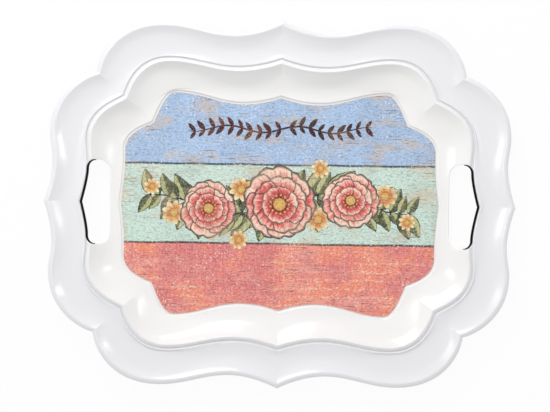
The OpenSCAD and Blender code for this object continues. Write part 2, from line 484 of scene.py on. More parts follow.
@dataclass(frozen=True)
class GlossWhite(Finish):
    """Gloss white moulding, painted cool and a little darker at the rim and warmer and lighter towards the
    floor, which is painted light and a painted warm reflection of the print, with painted shade in the
    groove.
    """

    # rim to floor: painted light and a painted warm reflection, lighter and warmer towards the floor
    rim: Colour = paint(237, 237, 240)
    floor: Colour = paint(245, 244, 243)
    # painted shade in the groove at the ridge's foot
    crease: Colour = paint(206, 206, 212)
    crease_at: float = 0.491
    groove_shade_span: Span = (0.014, 0.004)
    groove_shade_share: float = 0.6
    warm_span: Span = (0.44, 0.60)
    warm_sway: float = 0.10
    flow: Texture = Texture((0.012,) * 3, 2.0, span=(0.4, 0.7))
    dimples: Texture = Texture((0.10,) * 3, 2.0)
    dimple_depth: float = 0.05
    roughness: Span = (0.14, 0.22)
    coat: float = 0.25
    coat_roughness: float = 0.11

    def dress(self, graph: Graph) -> None:
        """Paints light and a warm reflection into the white inward, paints shade into the groove and breaks
        the gloss up.

        Args:
            graph: the material's nodes.
        """
        inward = graph.attribute("inward")
        flow = graph.noise(self.flow)
        # painted warm reflection and painted light, growing inward from the rim
        painted_warm_light = (inward + (flow - 0.5) * self.warm_sway).step(*self.warm_span)
        # painted shade along the groove
        groove = (inward - self.crease_at).abs().step(*self.groove_shade_span)
        white = graph.mix(painted_warm_light, self.rim, self.floor)
        graph.feed(base_color=graph.mix(groove * self.groove_shade_share, white, self.crease))
        graph.feed(roughness=flow.step(*self.flow.span).between(*self.roughness))
        graph.feed(coat_weight=self.coat, coat_roughness=self.coat_roughness)
        graph.bump(graph.noise(self.dimples), self.dimple_depth)


@dataclass(frozen=True)
class SoftBlack(Finish):
    """Matt rubber with a fine grain and dusty patches; on the slot strips its black is painted shadow."""

    colour: Colour = paint(6, 6, 6)
    dusty: Colour = paint(20, 20, 20)
    dust: Texture = Texture((0.35,) * 3, 4.0, 0.6, (0.5, 0.75))
    grain: Texture = Texture((4.0,) * 3, 2.0)
    grain_depth: float = 0.02
    roughness: Span = (0.675, 0.825)
    specular: float = 0.12

    def dress(self, graph: Graph) -> None:
        """Dusts the colour in patches over a fine grain.

        Args:
            graph: the material's nodes.
        """
        dust = graph.noise(self.dust)
        graph.feed(base_color=graph.mix(dust.step(*self.dust.span), self.colour, self.dusty))
        graph.feed(roughness=dust.between(*self.roughness), specular_ior_level=self.specular)
        graph.bump(graph.noise(self.grain), self.grain_depth)


@dataclass(frozen=True)
class PaleAdhesive(Finish):
    """Double-sided sheet, mottled where it was pressed down."""

    colour: Colour = paint(222, 216, 196)
    pressed: Colour = paint(206, 198, 176)
    press: Texture = Texture((0.2,) * 3, 3.0, span=(0.4, 0.6))
    roughness: float = 0.6

    def dress(self, graph: Graph) -> None:
        """Mottles the sheet."""
        mottled = graph.mix(graph.marks(self.press), self.colour, self.pressed)
        graph.feed(base_color=mottled, roughness=self.roughness)


@dataclass(frozen=True)
class ClearFilm(Finish):
    """Clear satin film, seen only by its gloss and its fine rubbed marks."""

    colour: Colour = paint(250, 250, 248)
    rubbed: Texture = Texture((0.02, 0.3, 0.3), 5.0, 0.65, (0.55, 0.8), 8.0)
    roughness: float = 0.32
    alpha: Span = (0.006, 0.026)

    def dress(self, graph: Graph) -> None:
        """Lets most light through and clouds it where it was rubbed."""
        graph.feed(base_color=self.colour, roughness=self.roughness)
        graph.feed(alpha=graph.marks(self.rubbed).between(*self.alpha))


@dataclass(frozen=True)
class Print(Finish):
    """Print on board, aged alike over the whole panel and as strongly as its wear."""

    wear: float = 0.55
    bare: Colour = paint(218, 188, 158)
    ink: Colour = paint(22, 18, 20)
    grime: Colour = paint(150, 142, 148)
    speck: Colour = paint(246, 242, 236)
    patch: Texture = Texture((0.024, 0.058, 0.1), 8.0, 0.62, (0.49, 0.66))
    near_span: Span = (0.42, 0.58)
    scrape: Texture = Texture((0.020, 0.42, 0.1), 6.0, 0.66, (0.54, 0.66))
    grain: Texture = Texture((0.9, 0.07, 0.1), 3.0, 0.6, (0.20, 0.5))
    fleck: Texture = Texture((0.26, 0.85, 0.1), 5.0, 0.66, (0.595, 0.655))
    crack: Texture = Texture((0.05, 0.95, 0.1), 5.0, 0.6, (0.59, 0.64))
    dots: Texture = Texture((0.50, 0.56, 0.1), 2.0, 0.5, (0.54, 0.65))
    cluster: Texture = Texture((0.05, 0.07, 0.1), 3.0, 0.6, (0.48, 0.62))
    grit: Texture = Texture((0.32, 0.62, 0.1), 4.0, 0.75, (0.36, 0.60))
    grime_span: Span = (0.54, 0.34)
    ragged_shares: Span = (0.4, 1.0)
    dot_shares: Span = (0.20, 0.66)
    fleck_shares: Span = (0.45, 1.0)
    crack_shares: Span = (0.3, 1.0)
    worn_share: float = 0.66
    ink_share: float = 0.72
    grime_share: float = 0.55
    roughness: Span = (0.48, 0.68)
    specular: float = 0.25
    coat: float = 0.05
    coat_roughness: float = 0.3
    relief: Span = (0.05, 0.6)

    def age(self, graph: Graph, colour: Value, bare: Value | None = None) -> None:
        """Wears a print through to the bare board, scratches and specks it.

        Args:
            graph: the material's nodes.
            colour: the print's colour.
            bare: colour of the worn places, the board's own if None.
        """
        patch = graph.noise(self.patch)
        grit = graph.noise(self.grit)
        near = patch.step(*self.near_span)
        ragged = grit.step(*self.grit.span).between(*self.ragged_shares)
        worn = patch.step(*self.patch.span) * ragged * graph.marks(self.grain)
        scratched = graph.marks(self.scrape) * near
        dirt = grit.step(*self.grime_span) * (self.grime_share * self.wear)
        gritty = graph.mix(dirt, colour, self.grime, "MULTIPLY")
        dots = graph.marks(self.dots) * graph.marks(self.cluster).between(*self.dot_shares)
        dotted = graph.mix(dots * self.wear, gritty, self.speck)
        rubs = worn.max(scratched) * (self.worn_share * self.wear)
        rubbed = graph.mix(rubs, dotted, self.bare if bare is None else bare)
        flecks = graph.marks(self.fleck) * near.between(*self.fleck_shares)
        cracks = graph.marks(self.crack) * near.between(*self.crack_shares)
        dark = flecks.max(cracks) * (self.ink_share * self.wear)
        graph.feed(base_color=graph.mix(dark, rubbed, self.ink), roughness=worn.between(*self.roughness))
        graph.feed(specular_ior_level=self.specular)
        graph.feed(coat_weight=self.coat, coat_roughness=self.coat_roughness)
        graph.bump(worn, *self.relief)


@dataclass(frozen=True)
class PaintedBands(Print):
    """Three painted bands with brushed grain, thin dark joints and a rubbed edge."""

    wear: float = 1.0
    back: Colour = paint(172, 201, 235)
    middle: Colour = paint(208, 232, 219)
    front: Colour = paint(238, 131, 126)
    glow: Colour = paint(248, 145, 115)
    faded: Colour = paint(240, 176, 162)
    shade: Colour = paint(196, 190, 196)
    bristle: Colour = paint(250, 248, 244)
    chalk: Colour = paint(252, 240, 232)
    joint_front: float = -39.0
    joint_back: float = 39.0
    joint_blur: float = 0.4
    joint_span: Span = (1.5, 0.525)
    joint_brush: Span = (0.25, 0.45)
    joint_share: float = 0.9
    waver: Texture = Texture((0.03,) * 3, 4.0)
    waver_reach: float = 2.2
    brush: Texture = Texture((0.9, 0.06, 0.1), 3.0, 0.6, (0.42, 0.78))
    brush_share: float = 0.18
    cloud: Texture = Texture((0.03,) * 3, 4.0, 0.6, (0.44, 0.62))
    shade_span: Span = (0.6, 0.35)
    shade_share: float = 0.25
    row_pitch: float = 8.5
    row_span: Span = (0.45, 0.85)
    row_fade: Span = (-51.0, -61.0)
    mark: Texture = Texture((0.34, 0.5, 0.1), 2.0, 0.5, (0.50, 0.58))
    mark_span: Span = (0.38, 0.6)
    mark_share: float = 0.5
    edge_sway: float = 0.09
    edge_span: Span = (0.975, 1.0)
    edge_share: float = 0.3

    def past(self, line: Value, joint: float) -> Value:
        """Runs from 0 before a joint to 1 past it."""
        return line.step(joint - self.joint_blur, joint + self.joint_blur)

    def dress(self, graph: Graph) -> None:
        """Lays the bands with wavering joints, brush marks and faint rows of marks.

        Args:
            graph: the material's nodes.
        """
        across = graph.node("ShaderNodeSeparateXYZ", {}, {0: graph.place()}, "Y")
        line = across + (graph.noise(self.waver) - 0.5) * self.waver_reach
        brush = graph.noise(self.brush)
        cloud = graph.noise(self.cloud)
        warm = graph.mix(cloud.step(*self.cloud.span), self.front, self.glow)
        lower = graph.mix(self.past(line, self.joint_front), warm, self.middle)
        bands = graph.mix(self.past(line, self.joint_back), lower, self.back)
        shaded = graph.mix(cloud.step(*self.shade_span) * self.shade_share, bands, self.shade, "MULTIPLY")
        brushed = graph.mix(brush.step(*self.brush.span) * self.brush_share, shaded, self.bristle)
        row = (across * (2.0 * math.pi / self.row_pitch)).sin().step(*self.row_span)
        rows = row * graph.marks(self.mark) * across.step(*self.row_fade)
        marked = graph.mix(rows * cloud.step(*self.mark_span) * self.mark_share, brushed, self.chalk)
        gap = (line - self.joint_back).abs().min((line - self.joint_front).abs())
        joint = gap.step(*self.joint_span) * brush.step(*self.joint_brush)
        jointed = graph.mix(joint * self.joint_share, marked, self.ink)
        edge = (graph.attribute("reach") + (cloud - 0.5) * self.edge_sway).step(*self.edge_span)
        bare = graph.mix(self.past(line, self.joint_front), self.faded, self.bare)
        self.age(graph, graph.mix(edge * self.edge_share, jointed, bare), bare)


@dataclass(frozen=True)
class PetalPrint(Print):
    """Petals shaded from a deep heart to a pale edge, with a thin dark outline."""

    heart: Colour = paint(142, 12, 30)
    body: Colour = paint(226, 98, 94)
    edge: Colour = paint(252, 222, 200)
    outline: Colour = paint(50, 10, 14)
    stops: tuple[float, float, float] = (0.34, 0.66, 0.94)
    stroke: Texture = Texture((3.2, 7.2, 59.2), 3.0, 0.6)
    stroke_share: float = 0.75
    tone_share: float = 0.22
    fold_span: Span = (0.15625, 0.0)
    fold_fade: Span = (0.75, 0.25)
    fold_share: float = 0.35
    rim_span: Span = (0.89, 0.965)
    rim_share: float = 0.9

    def dress(self, graph: Graph) -> None:
        """Runs the shades along the petal in uneven brush strokes.

        Args:
            graph: the material's nodes.
        """
        along, across, tone = (graph.attribute(name) for name in ("along", "across", "tone"))
        cells = [part * cell for part, cell in zip((along, across, tone), self.stroke.cells)]
        stroke = graph.noise(self.stroke, graph.node("ShaderNodeCombineXYZ", {}, dict(enumerate(cells))))
        shade = along + (stroke - 0.5) * self.stroke_share + (tone - 0.5) * self.tone_share
        colour = graph.ramp(shade, list(zip(self.stops, (self.heart, self.body, self.edge))))
        fold = across.abs().step(*self.fold_span) * along.step(*self.fold_fade)
        folded = graph.mix(fold * self.fold_share, colour, self.heart)
        rim = across.abs().max(along).step(*self.rim_span)
        self.age(graph, graph.mix(rim * self.rim_share, folded, self.outline))


@dataclass(frozen=True)
class LeafPrint(Print):
    """Leaves with a light half, a dark half, veins and a dark outline."""

    light: Colour = paint(200, 202, 142)
    dark: Colour = paint(44, 62, 34)
    vein: Colour = paint(14, 18, 12)
    outline: Colour = paint(12, 13, 11)
    blotch: Texture = Texture((0.35,) * 3, 3.0, 0.6)
    blotch_share: float = 0.7
    tone_share: float = 0.3
    half_sway: float = 0.9
    half_span: Span = (-0.25, 0.3)
    half_share: float = 0.75
    vein_slant: float = 0.32
    vein_rate: float = 34.0
    vein_span: Span = (0.80, 0.97)
    vein_fade: Span = (0.85, 0.5)
    vein_share: float = 0.55
    rib_span: Span = (0.12, 0.03)
    rib_fade: Span = (0.95, 0.8)
    rib_share: float = 0.7
    rim_span: Span = (0.79, 0.91)
    rim_share: float = 0.95

    def dress(self, graph: Graph) -> None:
        """Shades the two halves apart and draws slanted veins.

        Args:
            graph: the material's nodes.
        """
        along, across, tone = (graph.attribute(name) for name in ("along", "across", "tone"))
        blotch = graph.noise(self.blotch) - 0.5
        aside = across.abs()
        half = (across + blotch * self.half_sway).step(*self.half_span)
        lightness = half * self.half_share + tone * self.tone_share + blotch * self.blotch_share
        colour = graph.mix(lightness, self.dark, self.light)
        waves = ((along - aside * self.vein_slant) * self.vein_rate).sin()
        veins = waves.step(*self.vein_span) * aside.step(*self.vein_fade) * self.vein_share
        rib = aside.step(*self.rib_span) * along.step(*self.rib_fade) * self.rib_share
        veined = graph.mix(veins.max(rib), colour, self.vein)
        rim = aside.max((along * 2.0 - 1.0).abs()).step(*self.rim_span)
        self.age(graph, graph.mix(rim * self.rim_share, veined, self.outline))


@dataclass(frozen=True)
class PlainPrint(Print):
    """A flat printed colour with a mottled second one."""

    wear: float = 0.36
    colour: Colour = paint(238, 206, 120)
    second: Colour = paint(196, 140, 62)
    mottle: Texture = Texture((0.9,) * 3, 3.0, 0.6, (0.35, 0.65))
    mottle_share: float = 0.6
    tone_share: float = 0.4

    def dress(self, graph: Graph) -> None:
        """Mottles the two colours."""
        share = graph.marks(self.mottle) * self.mottle_share + graph.attribute("tone") * self.tone_share
        self.age(graph, graph.mix(share, self.colour, self.second))


# The moulding


@dataclass(frozen=True)
class Outline:
    """A scalloped outline, alike in its four quarters.

    Each quarter is four cubic curves: from the end's point to the end lobe's
    crest, to the corner notch, to the long side's crest and to that side's point.
    Handles are shares of a curve's span, and headings are degrees.
    """

    half: Array
    crest: Span
    notch: Span
    lobe: Span
    fall: Span
    end_handles: Span = (0.64, 0.24)
    lobe_handles: Span = (0.68, 0.25)
    crest_handles: Span = (0.40, 0.68)
    side_handles: Span = (0.34, 0.52)
    notch_headings: Span = (-10.0, 97.0)

    def controls(self) -> Array:
        """Works out the ends and handles of a quarter's curves.

        Returns:
            Four curves of four points.
        """
        lobe, corner, crest = self.half - self.lobe, self.half - self.notch, self.half - self.crest
        end, side = self.half * (1, 0), self.half * (0, 1)
        right, up = np.eye(2)
        from_end = self.end_handles[0] * lobe[1] * heading(90.0 + self.fall[1])
        to_lobe = -self.end_handles[1] * lobe[1] * up
        from_lobe = self.lobe_handles[0] * (corner - lobe)[1] * up
        to_notch = self.lobe_handles[1] * (lobe - corner)[0] * heading(self.notch_headings[0])
        from_notch = self.crest_handles[0] * (crest - corner)[1] * heading(self.notch_headings[1])
        to_crest = self.crest_handles[1] * (corner - crest)[0] * right
        from_crest = -self.side_handles[0] * crest[0] * right
        to_side = self.side_handles[1] * crest[0] * heading(-self.fall[0])
        return np.array([
            [end, end + from_end, lobe + to_lobe, lobe],
            [lobe, lobe + from_lobe, corner + to_notch, corner],
            [corner, corner + from_notch, crest + to_crest, crest],
            [crest, crest + from_crest, side + to_side, side],
        ])

    def at(self, turn: Array) -> Array:
        """Gives points on the outline.

        A turn of 0 is the right end's point, and each quarter is 4 long. A point
        is the cubic curve's sum of its four controls, weighted by t and 1 - t.

        Args:
            turn: how far round, anticlockwise.

        Returns:
            Points as xy.
        """
        quarter = np.floor(turn / QUARTER)
        inside = turn - QUARTER * quarter
        quarter = quarter.astype(int) % 4
        inside = np.where(quarter % 2 == 1, QUARTER - inside, inside)
        curve = np.clip(np.floor(inside).astype(int), 0, 3)
        t = (inside - curve)[..., None]
        weights = np.concatenate([(1 - t) ** 3, 3 * t * (1 - t) ** 2, 3 * t * t * (1 - t), t**3], axis=-1)
        points = np.einsum("...k,...kd->...d", weights, self.controls()[curve])
        signs = np.array([[1, 1], [-1, 1], [-1, -1], [1, -1]])
        return points * signs[quarter]


@dataclass(frozen=True)
class TrayShape:
    """The moulding's three outlines and its section, as the model has them."""

    size: Array
    top: float
    outer_cove: Span = (34.7, 38.0)
    inner_cove: Span = (36.9, 35.0)
    lip_w: float = 4.6
    lip_h: float = 1.9
    lip_edge: float = 0.7
    lip_tuck: Span = (0.7, 1.5)
    lip_wall: float = 0.6
    cove_fall: float = 3.6
    cove_sag: float = 3.2
    groove_w: float = 1.7
    groove_d: float = 1.7
    ridge_w: float = 4.4
    ridge_h: float = 3.0
    roll_power: float = 2.0
    border_z: float = 10.0
    border_w: float = 1.0
    border_fall: float = 0.1
    step_run: float = 1.2
    floor_z: float = 8.6
    floor_run: float = 3.0
    cove_power: float = 1.9
    wall: float = 2.8
    under_out: float = 1.6
    under_shares: tuple[Span, Span] = ((0.0, 0.8), (0.3, 1.0))
    grip_wall: Span = (1.0, 4.8)
    foot_z: float = 1.4
    foot_w: float = 7.0
    foot_out: float = 2.4
    foot_outer: tuple[Span, ...] = ((-0.9, 2.0), (-0.25, 0.6), (0.1, 0.15), (0.7, 0.0))
    foot_inner: tuple[Span, ...] = ((-0.5, 0.0), (0.0, 0.2))
    foot_rise: tuple[Span, ...] = ((0.8, -0.4), (1.5, 0.0), (5.0, 0.0))
    base_z: float = 5.8
    rounding: float = 0.22
    rows: int = 118
    under_rows: int = 14
    roll_rows: int = 41
    cove_rows: int = 121
    fine_rows: int = 2401
    crowding: float = 6.0
    newton_steps: int = 14
    lobe_y: float = 55.0
    last_turn: float = 1.4
    nudge: float = 1e-4
    slot_past: float = 0.3

    @property
    def crease_z(self) -> float:
        """Height of the crease at the ridge's foot, in the groove."""
        return self.top - self.cove_fall - self.groove_d

    @property
    def ridge_z(self) -> float:
        """Height of the ridge's crest."""
        return self.crease_z + self.ridge_h

    @property
    def lip_low(self) -> float:
        """Height of the lip's outer edge."""
        return self.top - self.lip_h

    @property
    def crease_at(self) -> float:
        """Distance of the crease in from the rim."""
        return self.outer_cove[0]

    @property
    def floor_at(self) -> float:
        """Distance of the floor's edge in from the rim."""
        return self.outer_cove[0] + self.inner_cove[0]

    @property
    def slot_x(self) -> float:
        """Place of the right slot's point, a little past the crease."""
        return self.size[0] / 2 - self.crease_at + self.slot_past

    def outlines(self) -> tuple[Outline, Outline, Outline]:
        """Gives the outlines of the rim, the crease and the floor.

        Returns:
            The three outlines.
        """
        rim = self.size / 2
        crease = rim - self.outer_cove
        floor = crease - self.inner_cove
        return (
            Outline(rim, crest=(114.5, 2.4), notch=(49.5, 52.7), lobe=(5.0, 112.5), fall=(26, 19)),
            Outline(crease, crest=(86.3, -0.5), notch=(41.5, 37.5), lobe=(5.9, 80.4), fall=(19, 17),
                    notch_headings=(-35.0, 108.0)),
            Outline(floor, crest=(54.3, -4.2), notch=(32.0, 26.8), lobe=(3.7, 54.3), fall=(19, 8),
                    notch_headings=(-26.0, 112.0), crest_handles=(0.40, 0.48)),
        )

    def plan(self, turn: Array, station: Array | float) -> Array:
        """Gives points in plan, a straight mix between two outlines.

        Args:
            turn: how far round.
            station: 0 at the rim, 1 at the crease and 2 at the floor.

        Returns:
            Points as xy.
        """
        turn, station = np.broadcast_arrays(turn, station)
        rim, crease, floor = (outline.at(turn) for outline in self.outlines())
        share = station[..., None]
        return np.where(share < 1, rim + (crease - rim) * share, crease + (floor - crease) * (share - 1))

    def station(self, d: Array | float) -> Array:
        """Gives the station a distance in from the rim, measured at the tray's ends."""
        past = (d - self.crease_at) / self.inner_cove[0]
        return np.where(past < 0, d / self.crease_at, 1 + past)

    def roll(self, start: float, width: float, crest_z: float, fall: float) -> Array:
        """Gives an outward slope, below its crest by its fall times a power of the width left."""
        s = np.linspace(0, 1, self.roll_rows)
        return np.stack([start + width * s, crest_z - fall * (1 - s) ** self.roll_power], axis=-1)

    def outer_section(self, shares: Array) -> Array:
        """Gives the outer cove, a straight fall less a parabola that sags below it.

        Args:
            shares: how far across, from 0 to 1.

        Returns:
            Rows of distance and height.
        """
        d = self.lip_w + (self.crease_at - self.groove_w - self.lip_w) * shares
        height = self.top - self.cove_fall * shares - 4 * self.cove_sag * shares * (1 - shares)
        return np.stack([d, height], axis=-1)

    def inner_section(self, shares: Array) -> Array:
        """Gives the inner cove, falling as a power of the width that is left.

        Args:
            shares: how far across, from 0 to 1.

        Returns:
            Rows of distance and height.
        """
        start = self.crease_at + self.ridge_w
        end = self.floor_at - self.step_run - self.border_w
        height = self.border_z + (self.ridge_z - self.border_z) * (1 - shares) ** self.cove_power
        return np.stack([start + (end - start) * shares, height], axis=-1)

    def top_section(self) -> Array:
        """Gives the visible side, from under the lip's edge in to the floor.

        The lip, coves, groove, ridge and step are joined into one line, which is
        averaged along its length with a bell curve, so that its corners round off.
        Rows close up where the line bends.

        Returns:
            Rows of station and height.
        """
        across = np.linspace(0, 1, self.cove_rows)
        line = np.concatenate([
            [[self.lip_tuck[0], self.lip_low - self.lip_tuck[1]], [0.0, self.lip_low - self.lip_edge]],
            self.roll(0.0, self.lip_w, self.top, self.lip_h),
            self.outer_section(across)[1:],
            self.roll(self.crease_at, self.ridge_w, self.ridge_z, self.ridge_h),
            self.inner_section(across)[1:],
            [[self.floor_at - self.step_run, self.border_z - self.border_fall],
             [self.floor_at, self.floor_z], [self.floor_at + self.floor_run, self.floor_z]],
        ])
        even = spread(line, np.linspace(0, 1, self.fine_rows))
        pitch = np.linalg.norm(np.diff(line, axis=0), axis=1).sum() / (len(even) - 1)
        reach = int(4 * self.rounding / pitch)
        bell = np.exp(-0.5 * (np.arange(-reach, reach + 1) * pitch / self.rounding) ** 2)
        padded = np.pad(even, ((reach, reach), (0, 0)), mode="edge")
        soft = np.stack([np.convolve(padded[:, k], bell / bell.sum(), "valid") for k in (0, 1)], axis=-1)
        slope = np.unwrap(np.arctan2(np.gradient(soft[:, 1]), np.gradient(soft[:, 0])))
        crowd = np.cumsum(1.0 + self.crowding * np.abs(np.gradient(slope)) / pitch)
        picks = np.linspace(crowd[0], crowd[-1], self.rows)
        d, height = (np.interp(picks, crowd, soft[:, k]) for k in (0, 1))
        return np.stack([self.station(d), height], axis=-1)

    def under_section(self) -> Array:
        """Gives the hidden side, a wall below the coves and thicker behind the slots.

        Returns:
            Rows of station and height, from the lip in to the base.
        """
        shift = np.array([-self.under_out, -self.wall])
        first = self.floor_at - self.foot_out
        last = first + self.foot_w
        outer, inner = (np.linspace(*shares, self.under_rows) for shares in self.under_shares)
        line = np.concatenate([
            [[self.lip_tuck[0] + self.lip_wall, self.lip_low - self.lip_tuck[1]]],
            self.outer_section(outer) + shift,
            [[self.crease_at + self.grip_wall[0], self.crease_z - self.grip_wall[1]]],
            self.inner_section(inner) + shift,
            np.add((first, self.foot_z), self.foot_outer),
            np.add((last, self.foot_z), self.foot_inner),
            np.add((last, self.base_z), self.foot_rise),
        ])
        return np.stack([self.station(line[:, 0]), line[:, 1]], axis=-1)

    def station_of(self, xy: Array) -> Array:
        """Finds the stations of points near the right end, by Newton's steps.

        Args:
            xy: points in plan.

        Returns:
            Their stations.
        """
        target = np.stack([xy[..., 0], np.abs(xy[..., 1])], axis=-1)
        turn = np.clip(target[..., 1] / self.lobe_y, 0.0, 1.0)
        station = 1 + (self.size[0] / 2 - self.crease_at - target[..., 0]) / self.inner_cove[0]
        for _ in range(self.newton_steps):
            here = self.plan(turn, station)
            by_turn = (self.plan(turn + self.nudge, station) - here) / self.nudge
            by_station = (self.plan(turn, station + self.nudge) - here) / self.nudge
            slopes = np.stack([by_turn, by_station], axis=-1)
            move = np.linalg.solve(slopes, (target - here)[..., None])[..., 0]
            turn = np.clip(turn + move[..., 0], 0.0, self.last_turn)
            station = station + move[..., 1]
        return station


@dataclass(frozen=True)
class HandSlot:
    """Outline of the right hand slot: a bowed outer wall, round ends, a straight inner side."""

    point_x: float
    length: float = 83.0
    width: float = 28.5
    vee: float = 6.3
    radii: Span = (8.5, 11.0)
    bend: float = 0.72
    steps: int = 25

    def back_half(self) -> tuple[Array, Array, Array]:
        """Gives the wall from its point to its back end, and the two corner arcs.

        The wall is a parabola that leaves the point on a slant and ends square, and
        each arc is a quarter turn.

        Returns:
            The wall, the outer arc and the inner arc.
        """
        outer_r, inner_r = self.radii
        start = np.array([self.point_x, 0.0])
        end = np.array([self.point_x - self.vee, self.length / 2 - outer_r])
        middle = end * (1.0, self.bend)
        share = np.linspace(0, 1, self.steps)
        t = share[:, None]
        wall = (1 - t) ** 2 * start + 2 * t * (1 - t) * middle + t * t * end
        outer = end - (outer_r, 0.0) + outer_r * heading(90.0 * share)
        corner = np.array([self.point_x - self.width + inner_r, self.length / 2 - inner_r])
        inner = corner + inner_r * heading(90.0 + 90.0 * share)
        return wall, outer, inner

    def runs(self) -> tuple[Array, Array, Array, Array]:
        """Gives the outer side, the back end, the inner side and the front end.

        Returns:
            Four runs of points, anticlockwise, that meet in the corners' middles.
        """
        flip = np.array([1.0, -1.0])
        wall, outer, inner = self.back_half()
        half = len(outer) // 2
        back = np.concatenate([wall, outer[1: half + 1]])
        outer_run = np.concatenate([back[:0:-1] * flip, back])
        end_run = np.concatenate([outer[half:], inner[: half + 1]])
        inner_run = np.concatenate([inner[half:], inner[half:][::-1] * flip])
        return outer_run, end_run, inner_run, end_run[::-1] * flip

    def shadow_strip_run(self) -> Array:
        """Gives the run that the black strip of painted shadow follows, round both outer corners.

        Returns:
            Points, from the front to the back.
        """
        wall, outer, _ = self.back_half()
        back = np.concatenate([wall, outer[1:]])
        return np.concatenate([back[:0:-1] * (1.0, -1.0), back])


